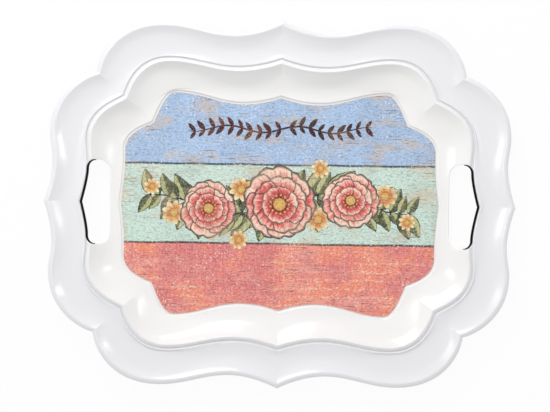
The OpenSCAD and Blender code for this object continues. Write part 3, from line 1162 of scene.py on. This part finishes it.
@dataclass
class TrayBody:
    """The white moulding, with its hand slots opened and their edges rounded."""

    shape: TrayShape
    slot: HandSlot
    finish: Finish
    steps: tuple[int, int, int, int] = (26, 20, 20, 30)
    crowding: float = 1.5
    softness: float = 6.0
    soft_in: Span = (0.30, 0.68)
    soft_out: Span = (0.96, 0.76)
    soft_past: Span = (1.1, 1.6)
    slot_stations: Span = (0.91, 1.86)
    slot_turn: float = 0.66
    slot_rings: int = 12
    section_from: float = 0.8
    edge_r: float = 0.7
    edge_rings: int = 5

    def turns(self) -> Array:
        """Gives the columns' places round the tray, closer beside points and notches.

        Returns:
            Places from 0 up to a lap.
        """
        even = [np.arange(n) / n for n in self.steps]
        rise = [share**self.crowding for share in even]
        fall = [1 - (1 - share) ** self.crowding for share in even]
        quarter = np.concatenate([rise[0], 1 + fall[1], 2 + rise[2], 3 + fall[3]])
        back = np.append(quarter[1:], QUARTER)[::-1]
        return np.concatenate([quarter, LAP / 2 - back, LAP / 2 + quarter, LAP - back])

    def softened(self, plan: Array, station: Array, turn: Array) -> Array:
        """Rounds the points and notches off towards the foot of each cove.

        A row is blended with itself blurred along its length, most in the inner
        half of a cove and not at all at the outlines or beside the hand slots.

        Args:
            plan: points as rows, columns and xy.
            station: the rows' stations.
            turn: the columns' places round the tray.

        Returns:
            The softer points.
        """
        wave = np.fft.fft(plan[..., 0] + 1j * plan[..., 1], axis=1)
        rate = np.fft.fftfreq(len(turn)) * 2 * math.pi * self.softness
        blurred = np.fft.ifft(wave * np.exp(-0.5 * rate**2), axis=1)
        outer, inner = (smoothstep(*self.soft_in, d) * smoothstep(*self.soft_out, d)
                        for d in (station, station - 1))
        from_end = np.abs(np.mod(turn + QUARTER, LAP / 2) - QUARTER)
        share = outer[:, None] + inner[:, None] * smoothstep(*self.soft_past, from_end)
        soft = np.stack([blurred.real, blurred.imag], axis=-1)
        return plan + (soft - plan) * share[..., None]

    def in_slot(self, station: Array) -> Array:
        """Tells which rows run past the slots."""
        low, high = self.slot_stations
        return (station >= low) & (station <= high)

    def sections(self) -> tuple[Array, Array]:
        """Gives both sides' rows, with rows alike where the slots go through.

        Returns:
            The top rows and the under rows, as station and height.
        """
        top = self.shape.top_section()
        under = self.shape.under_section()
        low, high = self.slot_stations
        shared = top[self.in_slot(top[:, 0]), 0]
        middle = np.stack([shared, np.interp(shared, under[:, 0], under[:, 1])], axis=-1)
        return top, np.concatenate([under[under[:, 0] < low], middle, under[under[:, 0] > high]])

    def slot_loop(self, turn: Array, stations: Array) -> tuple[Array, Array]:
        """Gives the slot's outline with a point for each point of the frame round it.

        Args:
            turn: places of the frame's columns, from the front to the back.
            stations: stations of the frame's rows, from the outside in.

        Returns:
            The outline's points, and the directions square to it, away from the slot.
        """
        across = self.shape.plan(turn, stations[0])[:, 1]
        share = 0.5 + 0.5 * across / across[-1]
        down = (stations - stations[0]) / (stations[-1] - stations[0])
        shares = (share, down, share, 1 - down[::-1])
        loop = np.concatenate([spread(run, s)[:-1] for run, s in zip(self.slot.runs(), shares)])
        return loop, -left_of(np.roll(loop, -1, axis=0) - np.roll(loop, 1, axis=0))

    def slot_side(self, ring: Array, loop: Array, outward: Array, section: Array, sign: float) -> Array:
        """Closes in from the frame to the slot on one side of the wall.

        Points run in straight lines in plan and keep to the section's height, then
        turn over the edge in a quarter circle.

        Args:
            ring: the frame's points.
            loop: the slot's outline.
            outward: directions away from the slot.
            section: the side's section.
            sign: 1 where the edge turns upward, -1 where it turns downward.

        Returns:
            Rings of points, from the frame to the slot's wall.
        """
        closing = np.linspace(0, 1, self.slot_rings + 1)[1:, None, None]
        plan = ring[:, :2] + (loop + outward * self.edge_r - ring[:, :2]) * closing
        near = section[section[:, 0] > self.section_from]
        height = np.interp(self.shape.station_of(plan), near[:, 0], near[:, 1])
        angle = np.linspace(0, math.pi / 2, self.edge_rings + 1)[1:, None, None]
        edge = loop + outward * self.edge_r * (1 - np.sin(angle))
        drop = sign * self.edge_r * (1 - np.cos(angle[..., 0]))
        return np.concatenate([ring[None], raised(plan, height), raised(edge, height[-1] + drop)])

    def build(self) -> None:
        """Builds and dresses the moulding.

        One grid runs round the tray, with rows from the base round the lip to the
        floor. Each slot is one strip of rings, from the top side down its wall.
        """
        turn = self.turns()
        top, under = self.sections()
        rows = np.concatenate([under[::-1], top])
        plan = self.softened(self.shape.plan(turn[None, :], rows[:, :1]), rows[:, 0], turn)
        grid = raised(plan, rows[:, 1:])
        through = np.flatnonzero(self.in_slot(rows[:, 0]))
        under_rows = through[through < len(under)][::-1]
        top_rows = through[through >= len(under)]
        half = int(np.searchsorted(turn, self.slot_turn))
        columns = np.arange(-half, half + 1)
        keep = np.ones((len(rows) - 1, len(turn)), bool)
        for middle in (0, len(turn) // 2):
            for band in (top_rows, under_rows[::-1]):
                keep[np.ix_(band[:-1], middle + columns[:-1])] = False
        shell = Shell()
        shell.add_tube(grid, keep, inward=np.clip(rows[:, :1] / 2, 0, 1))
        signed = np.mod(turn[columns] + LAP / 2, LAP) - LAP / 2
        loop, outward = self.slot_loop(signed, rows[top_rows, 0])
        sides = []
        for band, section, sign in ((top_rows, top, -1.0), (under_rows, under, 1.0)):
            ring = np.concatenate([
                grid[band[0], columns][:-1], grid[band, half][:-1],
                grid[band[-1], columns[::-1]][:-1], grid[band[::-1], -half][:-1]])
            sides.append(self.slot_side(ring, loop, outward, section, sign))
        rings = np.concatenate([sides[0], sides[1][::-1]])
        inward = np.clip(self.shape.station_of(rings[..., :2]) / 2, 0, 1)
        for end in (1, -1):
            shell.add_grid(rings * (end, end, 1), closed=True, inward=inward)
        fit_piece(shell.make("tray_moulding"), self.finish, ["tray_body"])


@dataclass
class SlotShadowStrips:
    """Soft black strips that line the slots' outer walls and thin out at their ends; their black is painted
    shadow along the slots' outer edges, where there is only shade.
    """

    slot: HandSlot
    finish: Finish
    thickness: float = 1.8
    end_share: float = 0.4
    taper: float = 0.14
    squareness: float = 0.35
    steps: tuple[int, int] = (161, 32)

    def squared(self, wave: Array) -> Array:
        """Squares a sine or a cosine off."""
        return np.sign(wave) * np.abs(wave) ** self.squareness

    def build(self) -> None:
        """Sweeps a rounded section along the slot's outer side, for both ends.

        The section is a squared-off ellipse that stands in from the wall, square to
        it, and thins out round the slot's corners.
        """
        low, high = node_box("grip_strip_right")
        share = np.linspace(0.0, 1.0, self.steps[0])
        path = spread(self.slot.shadow_strip_run(), share)
        inward = left_of(np.gradient(path, axis=0))
        from_tip = smoothstep(0.0, self.taper, np.minimum(share, 1 - share))
        thick = self.thickness * (self.end_share + (1 - self.end_share) * from_tip)
        angle = np.linspace(0, 2 * math.pi, self.steps[1], endpoint=False)
        across = 0.5 + 0.5 * self.squared(np.cos(angle))
        plan = path[:, None] + inward[:, None] * thick[:, None, None] * across[:, None]
        middle, half = (high[2] + low[2]) / 2, (high[2] - low[2]) / 2
        strip = raised(plan, middle + half * self.squared(np.sin(angle)))
        for side, sign in (("right", 1), ("left", -1)):
            shell = Shell()
            shell.add_tube(strip * (sign, sign, 1))
            fit_piece(shell.make(f"slot_shadow_strip_{side}"), self.finish, [f"grip_strip_{side}"])


@dataclass
class FootPads:
    """Soft pads under the base, by shares of their radius and height."""

    finish: Finish
    count: int = 4
    steps: int = 64
    section: tuple[Span, ...] = (
        (0.02, 0.0), (0.45, 0.0), (0.50, 0.10), (0.56, 0.12), (0.62, 0.10), (0.67, 0.0), (0.86, 0.0),
        (0.93, 0.03), (0.98, 0.10), (1.0, 0.22), (1.0, 0.97), (0.98, 1.0), (0.02, 1.0))

    def build(self) -> None:
        """Turns one section, with a rounded rim and a ring groove, about each pad's axis."""
        out, up = np.array(self.section).T[..., None]
        ring = heading(np.linspace(0, 360, self.steps, endpoint=False))
        for number in range(1, self.count + 1):
            node = f"foot_pad_{number}"
            low, high = node_box(node)
            plan = (low + high)[:2] / 2 + out[..., None] * (high - low)[0] / 2 * ring
            shell = Shell()
            shell.add_tube(raised(plan, low[2] + up * (high - low)[2]))
            fit_piece(shell.make(f"soft_pad_{number}"), self.finish, [node])


# The printed floor


@dataclass
class FlatSheet:
    """A thin sheet cut to the floor's outline, set back from it and lowered by a drop."""

    name: str
    node: str
    slot: str
    shape: TrayShape
    finish: Finish
    setback: float = 1.6
    drop: float = 0.0
    bevel: float = 0.12
    steps: int = 384
    rings: tuple[float, ...] = (0.004, 0.996, 1.0, 1.0, 0.996, 0.35, 0.004)

    def build(self) -> None:
        """Builds the sheet as rings that shrink to its middle, with a fine bevel."""
        low, high = node_box(self.node)
        top, bottom = high[2] - self.drop, low[2]
        turn = np.linspace(0, LAP, self.steps, endpoint=False)
        edge = self.shape.plan(turn, self.shape.station(self.shape.floor_at + self.setback))
        bevel = min(self.bevel, (top - bottom) / 4)
        reach = np.array(self.rings)[:, None]
        heights = np.array([bottom, bottom, bottom + bevel, top - bevel, top, top, top])
        shell = Shell()
        shell.add_tube(raised(edge * reach[..., None], heights[:, None]), reach=reach)
        fit_piece(shell.make(self.name, smooth=False), self.finish, [self.node])


@dataclass(frozen=True)
class PetalForm:
    """How a printed patch swells, by the numbers of one formula.

    Its half width is the sine of a power of its length, raised to a power. Its far
    end is rounded and dented across its width, and its sides may have teeth.
    """

    reach: float
    skew: float
    power: float
    rounding: float = 0.0
    dent: float = 0.0
    teeth: float = 0.0
    dent_width: float = 0.2
    tooth_count: float = 7.0
    toothed: Span = (0.12, 0.95)
    steps: tuple[int, int] = (22, 15)

    def patch(self) -> tuple[Array, Array, Array, Array]:
        """Gives a patch one unit long and one unit wide.

        Returns:
            Places along and across the patch, and its two parameters.
        """
        rows, columns = self.steps
        u, v = np.meshgrid(np.linspace(0, 1, rows), np.linspace(-1, 1, columns), indexing="ij")
        dent = self.dent * u**3 * np.exp(-((v / self.dent_width) ** 2))
        along = u * np.sqrt(1 - self.rounding * v * v) * (1 - dent)
        first, last = self.toothed
        tooth = (1 - np.mod(u * self.tooth_count, 1.0)) * (u > first) * (u < last)
        half = 0.5 * np.sin(self.reach * math.pi * u**self.skew) ** self.power * (1 + self.teeth * tooth)
        return along, half * v, u, v


class PetalKind(Enum):
    """The shapes of printed petals and leaves."""

    ROUND = PetalForm(reach=0.5, skew=0.75, power=0.8, rounding=0.42, dent=0.09)
    LANCE = PetalForm(reach=1.0, skew=0.85, power=0.7)
    LEAF = PetalForm(reach=1.0, skew=0.8, power=0.85, teeth=0.10)


@dataclass
class Spray:
    """Flat printed patches of one colour family, laid over each other."""

    name: str
    level: float
    finish: Finish
    shell: Shell = field(default_factory=Shell)
    lift: float = 0.0
    gap: float = 0.0004

    def lay(self, kind: PetalKind, base: Array, angle: float, size: Span, tone: float,
            bend: float = 0.0) -> None:
        """Lays one patch on those before it.

        Args:
            kind: the shape.
            base: where it starts, as xy.
            angle: direction in degrees.
            size: length along and width across.
            tone: shade of its own, from 0 to 1.
            bend: sideways bend as a share of its length.
        """
        along, across, u, v = kind.value.patch()
        length, width = size
        aside = across * width + bend * along**2 * length
        plan = base + (along * length)[..., None] * heading(angle) + aside[..., None] * heading(angle + 90.0)
        self.shell.add_grid(raised(plan, self.level + self.lift), along=u, across=v, tone=np.array(tone))
        self.lift += self.gap

    def finish_piece(self) -> None:
        """Makes the spray's piece."""
        fit_piece(self.shell.make(self.name, solid=False), self.finish)


@dataclass(frozen=True)
class Flower:
    """How a flower is laid: rings of petals round a heart with a ring of dots.

    A ring is a count of petals, a share of the flower's radius and a turn. Petals sway
    by degrees and may stretch by a share, both at random.
    """

    kind: PetalKind
    rings: tuple[tuple[int, float, float], ...]
    width: float
    sway: Span
    heart: float
    dots: int
    stretch: Span | None = None


@dataclass
class Garland:
    """The floor's printed design: blossoms, leaves and a dark sprig on waving stems.

    Flowers are given by x, their place above the stem, their radius and their turn.
    """

    panel_top: float
    drop: float = 0.15
    seed: int = 11
    half_length: float = 134.0
    stem_wave: tuple[float, float, float] = (10.0, 27.0, 190.0)
    stem_width: float = 1.0
    sprig_y: float = 74.0
    sprig_half: float = 92.0
    sprig_wave: Span = (3.2, 11.0)
    sprig_width: float = 0.8
    sprig_pairs: int = 19
    sprig_end: float = 8.0
    sprig_lean: Span = (46, 62)
    sprig_size: Span = (9.0, 12.5)
    sprig_leaf_width: float = 0.40
    ribbon_steps: tuple[int, int] = (161, 5)
    ribbon_taper: float = 4.0
    ribbon_tip: float = 0.15
    tone_wave: float = 23.0
    leaf_from: float = 10.0
    leaf_pitch: float = 9.0
    leaf_size: Span = (24, 38)
    leaf_taper: Span = (1.15, 0.45)
    leaf_lean: Span = (38, 74)
    leaf_bend: Span = (-0.16, 0.16)
    leaf_width: float = 0.46
    disc_steps: tuple[int, int] = (5, 25)
    disc_from: float = 0.02
    dot_ring: float = 1.5
    dot_size: float = 0.18
    heart_gap: float = 0.001
    daisy: Flower = Flower(PetalKind.LANCE, ((9, 1.0, 0.0),), 0.52, (-5, 5), 0.28, 9)
    blossom: Flower = Flower(PetalKind.ROUND, ((8, 1.0, 0.0), (7, 0.78, 24.0), (6, 0.52, 8.0)), 0.92,
                             (-4, 4), 0.16, 13, (0.93, 1.06))
    daisies: tuple[tuple[float, ...], ...] = (
        (-38, 24, 13, 0), (38, -24, 13, 0), (-104, -15, 13, 0), (104, 15, 13, 0),
        (-40, -26, 10, 0), (40, 26, 10, 0), (-126, 8, 9, 0), (126, -8, 9, 0))
    blossoms: tuple[tuple[float, ...], ...] = ((-70, 0, 29, 32), (70, 0, 29, -14), (0, 0, 38, 10))
    random: np.random.Generator = field(init=False)

    def __post_init__(self) -> None:
        """Starts the source of small differences."""
        self.random = np.random.default_rng(self.seed)

    def stem(self, x: Array | float) -> Array:
        """Gives the main stem's place across the floor, a slow wave that dies down."""
        height, wave, fade = self.stem_wave
        return height * np.sin(np.asarray(x) / wave) * np.cos(np.asarray(x) / fade)

    def sprig(self, x: Array | float) -> Array:
        """Gives the back sprig's place, a quicker and shallower wave."""
        return self.sprig_y + self.sprig_wave[0] * np.sin(np.asarray(x) / self.sprig_wave[1])

    def tone(self, x: Array | float) -> Array:
        """Gives the shade along a stem, a slow wave of 0 to 1."""
        return 0.5 + 0.5 * np.sin(x / self.tone_wave)

    def build(self) -> None:
        """Lays the stems, the leaves and the flowers in that order."""
        level = self.panel_top - self.drop
        green = PlainPrint("stem_print", colour=paint(62, 72, 40), second=paint(24, 28, 18))
        brown = PlainPrint("sprig_print", colour=paint(96, 30, 26), second=paint(10, 7, 8))
        cream = PetalPrint("cream_petal_print", heart=paint(206, 120, 66), body=paint(244, 208, 140),
                           edge=paint(252, 240, 210))
        sprays = [Spray(name, level + rise, finish) for name, rise, finish in (
            ("print_stems", 0.0, green), ("print_sprig", 0.0, brown),
            ("print_leaves", 0.010, LeafPrint("leaf_print")), ("print_cream_petals", 0.050, cream),
            ("print_petals", 0.090, PetalPrint("coral_petal_print")),
            ("print_hearts", 0.120, PlainPrint("heart_print")))]
        stems, sprigs, leaves, creams, petals, hearts = sprays
        self.lay_ribbon(stems, self.stem, self.half_length, self.stem_width)
        self.lay_ribbon(sprigs, self.sprig, self.sprig_half, self.sprig_width)
        self.lay_sprig_leaves(sprigs)
        self.lay_leaves(leaves)
        for place in self.daisies:
            self.lay_flower(self.daisy, creams, hearts, place)
        for place in self.blossoms:
            self.lay_flower(self.blossom, petals, hearts, place)
        for spray in sprays:
            spray.finish_piece()

    def lay_ribbon(self, spray: Spray, path: Callable[[Array], Array], half: float, width: float) -> None:
        """Lays a stem as one ribbon along a path that tapers at its ends.

        Args:
            spray: the spray it joins.
            path: the path's place across the floor.
            half: half its length.
            width: half its width in the middle.
        """
        steps, columns = self.ribbon_steps
        x, v = np.meshgrid(np.linspace(-half, half, steps), np.linspace(-1, 1, columns), indexing="ij")
        wide = width * (1 - np.abs(x / half) ** self.ribbon_taper) + self.ribbon_tip
        grid = raised(np.stack([x, path(x) + v * wide], axis=-1), spray.level)
        spray.shell.add_grid(grid, along=(x + half) / (2 * half), across=v, tone=self.tone(x))

    def lay_leaves(self, leaves: Spray) -> None:
        """Lays the garland's leaves, pointing outward on both sides of its stem.

        Args:
            leaves: the spray of leaves.
        """
        draw = self.random.uniform
        first, loss = self.leaf_taper
        right = np.arange(self.leaf_from, self.half_length, self.leaf_pitch)
        for x in np.concatenate([right, -right]):
            for side in (1, -1):
                size = draw(*self.leaf_size) * (first - loss * abs(x) / self.half_length)
                lean = side * draw(*self.leaf_lean)
                angle = lean if x > 0 else 180 - lean
                tone = draw(0, 1)
                bend = side * np.sign(x) * draw(*self.leaf_bend)
                base = np.array([x, self.stem(x)])
                leaves.lay(PetalKind.LEAF, base, angle, (size, size * self.leaf_width), tone, bend)

    def lay_sprig_leaves(self, sprigs: Spray) -> None:
        """Lays the sprig's small leaves in pairs.

        Args:
            sprigs: the spray of the sprig.
        """
        last = self.sprig_half - self.sprig_end
        for x in np.linspace(-last, last, self.sprig_pairs):
            for side in (1, -1):
                lean = side * self.random.uniform(*self.sprig_lean)
                angle = lean if x > 0 else 180 - lean
                size = self.random.uniform(*self.sprig_size)
                shape = (size, size * self.sprig_leaf_width)
                sprigs.lay(PetalKind.LANCE, np.array([x, self.sprig(x)]), angle, shape, self.tone(x))

    def lay_flower(self, flower: Flower, petals: Spray, hearts: Spray, place: Sequence[float]) -> None:
        """Lays a flower beside the stem.

        Args:
            flower: how it is laid.
            petals: the spray of its petals.
            hearts: the spray of its heart.
            place: its x, its place above the stem, its radius and its turn in degrees.
        """
        x, above, radius, turn = place
        middle = np.array([x, self.stem(x) + above])
        for count, share, offset in flower.rings:
            for k in range(count):
                angle = turn + offset + 360.0 * k / count + self.random.uniform(*flower.sway)
                stretch = self.random.uniform(*flower.stretch) if flower.stretch else 1.0
                length = radius * share * stretch
                size = (length, length * flower.width)
                petals.lay(flower.kind, middle, angle, size, self.random.uniform(0, 1))
        self.lay_heart(hearts, middle, radius * flower.heart, flower.dots)

    def lay_heart(self, hearts: Spray, middle: Array, radius: float, dots: int) -> None:
        """Lays a heart: a disc and a ring of dots round it.

        Args:
            hearts: the spray of hearts.
            middle: its middle.
            radius: the disc's radius.
            dots: how many dots there are.
        """
        rings, columns = self.disc_steps
        share = np.linspace(self.disc_from, 1, rings)[:, None]
        disc = share[..., None] * heading(np.linspace(0, 360, columns))
        ring = middle + self.dot_ring * radius * heading(360.0 * np.arange(dots) / dots)
        for place, size in [(middle, radius), *((dot, radius * self.dot_size) for dot in ring)]:
            grid = raised(place + size * disc, hearts.level + hearts.lift)
            hearts.shell.add_grid(grid, along=share, across=np.array(0.0), tone=share)
        hearts.lift += self.heart_gap


# The studio


@dataclass(frozen=True)
class WhiteStage(Finish):
    """White ground that shows white to the camera and keeps a faint shadow."""

    keep: float = 0.06
    colour: Colour = (0.9, 0.9, 0.9)
    roughness: float = 0.9

    def dress(self, graph: Graph) -> None:
        """Mixes plain white with the lit ground where a camera or a gloss looks.

        Args:
            graph: the material's nodes.
        """
        graph.feed(base_color=self.colour, roughness=self.roughness, specular_ior_level=0.0)
        seen = graph.ray("Camera").max(graph.ray("Glossy")).max(graph.ray("Transmission"))
        lit = Value(graph, graph.tree.nodes["Principled BSDF"].outputs[0])
        white = graph.node("ShaderNodeEmission", {}, {"Color": WHITE, "Strength": 1.0})
        graph.show(seen * (1.0 - self.keep), lit, white)


@dataclass(frozen=True)
class Lamp:
    """A soft lamp that faces the tray, in metres, watts and degrees of spread."""

    name: str
    place: tuple[float, float, float]
    size: Span
    power: float
    aim_x: float = 0.0
    spread: float = 180.0

    def hang(self) -> None:
        """Hangs the lamp, turned to its aim on the table."""
        light = bpy.data.lights.new(self.name, "AREA")
        light.shape = "RECTANGLE"
        light.size, light.size_y = self.size
        light.energy = self.power
        light.spread = math.radians(self.spread)
        lamp = bpy.data.objects.new(self.name, light)
        lamp.location = self.place
        aim = Vector((self.aim_x, 0.0, 0.0)) - Vector(self.place)
        lamp.rotation_euler = aim.to_track_quat("-Z", "Y").to_euler()
        bpy.context.scene.collection.objects.link(lamp)


@dataclass
class Studio:
    """Camera, lamps and ground for the view straight down on the tray."""

    frame_width: float = 550.0
    frame_middle: Span = (275.0, 206.0)
    tray_pixel: Span = (279.6, 204.3)
    focal_pixels: float = 1028.0
    sensor_width: float = 36.0
    rim_distance: float = 1.0
    roll: float = 0.9
    glow: float = 0.66
    ground_reach: float = 3000.0
    lamps: tuple[Lamp, ...] = (
        Lamp("back_window", (-0.55, 1.19, 1.09), (1.2, 0.6), 13.0),
        Lamp("left_softbox", (-0.54, 0.23, 1.32), (0.36, 0.55), 0.12, 0.35, 40.0),
        Lamp("right_softbox", (0.54, 0.23, 1.32), (0.18, 0.50), 0.08, -0.35, 40.0))

    def camera(self) -> None:
        """Places the camera so that the tray's middle lands on its pixel."""
        rim_z = CAD_BOX[1][2]
        scale = self.rim_distance / self.focal_pixels
        right = (self.frame_middle[0] - self.tray_pixel[0]) * scale
        up = (self.tray_pixel[1] - self.frame_middle[1]) * scale
        lens = bpy.data.cameras.new("overhead")
        lens.sensor_width = self.sensor_width
        lens.lens = self.sensor_width * self.focal_pixels / self.frame_width
        eye = bpy.data.objects.new("overhead", lens)
        eye.location = (right, up, rim_z + self.rim_distance)
        eye.rotation_euler = (0.0, 0.0, math.radians(self.roll))
        bpy.context.scene.collection.objects.link(eye)
        bpy.context.scene.camera = eye

    def ground(self) -> None:
        """Lays the white ground under the tray."""
        side = np.linspace(-self.ground_reach, self.ground_reach, 3)
        shell = Shell()
        shell.add_grid(raised(np.stack(np.meshgrid(side, side), axis=-1), 0.0))
        piece = shell.make("white_ground", solid=False, smooth=False)
        piece.data.materials.append(WhiteStage("white_ground").material())

    def world(self) -> None:
        """Lights the scene evenly, and shows the camera white behind it."""
        world = bpy.data.worlds.new("studio")
        bpy.context.scene.world = world
        world.use_nodes = True
        graph = Graph(world.node_tree)
        lit, white = (graph.node("ShaderNodeBackground", {}, {"Color": WHITE, "Strength": level})
                      for level in (self.glow, 1.0))
        graph.show(graph.ray("Camera"), lit, white)

    def build(self) -> None:
        """Sets up the whole studio."""
        bpy.context.scene.view_settings.view_transform = "Standard"
        self.world()
        for lamp in self.lamps:
            lamp.hang()
        self.ground()
        self.camera()


def main() -> None:
    """Builds the studio and then the tray, piece by piece."""
    logging.basicConfig(level=logging.INFO, format="%(message)s")
    Studio().build()
    low, high = node_box("tray_body")
    shape = TrayShape(size=(high - low)[:2], top=high[2])
    slot = HandSlot(point_x=shape.slot_x)
    TrayBody(shape, slot, GlossWhite("gloss_white_moulding")).build()
    # black strips along the slots' outer walls: painted shadow, as a dark piece
    SlotShadowStrips(slot, SoftBlack("soft_black_slot_shadow")).build()
    FootPads(SoftBlack("soft_grey_pad", colour=paint(54, 54, 56), dusty=paint(84, 83, 82))).build()
    adhesive = PaleAdhesive("pale_adhesive")
    FlatSheet("bonding_sheet", "adhesive_sheet", "adhesive", shape, adhesive, setback=1.9).build()
    bands = PaintedBands("painted_bands")
    FlatSheet("printed_board", "printed_panel", "print", shape, bands, drop=0.16).build()
    film = ClearFilm("clear_satin_film")
    FlatSheet("cover_film", "clear_cover", "cover_film", shape, film).build()
    Garland(panel_top=node_box("printed_panel")[1][2]).build()


if __name__ == "__main__":
    main()
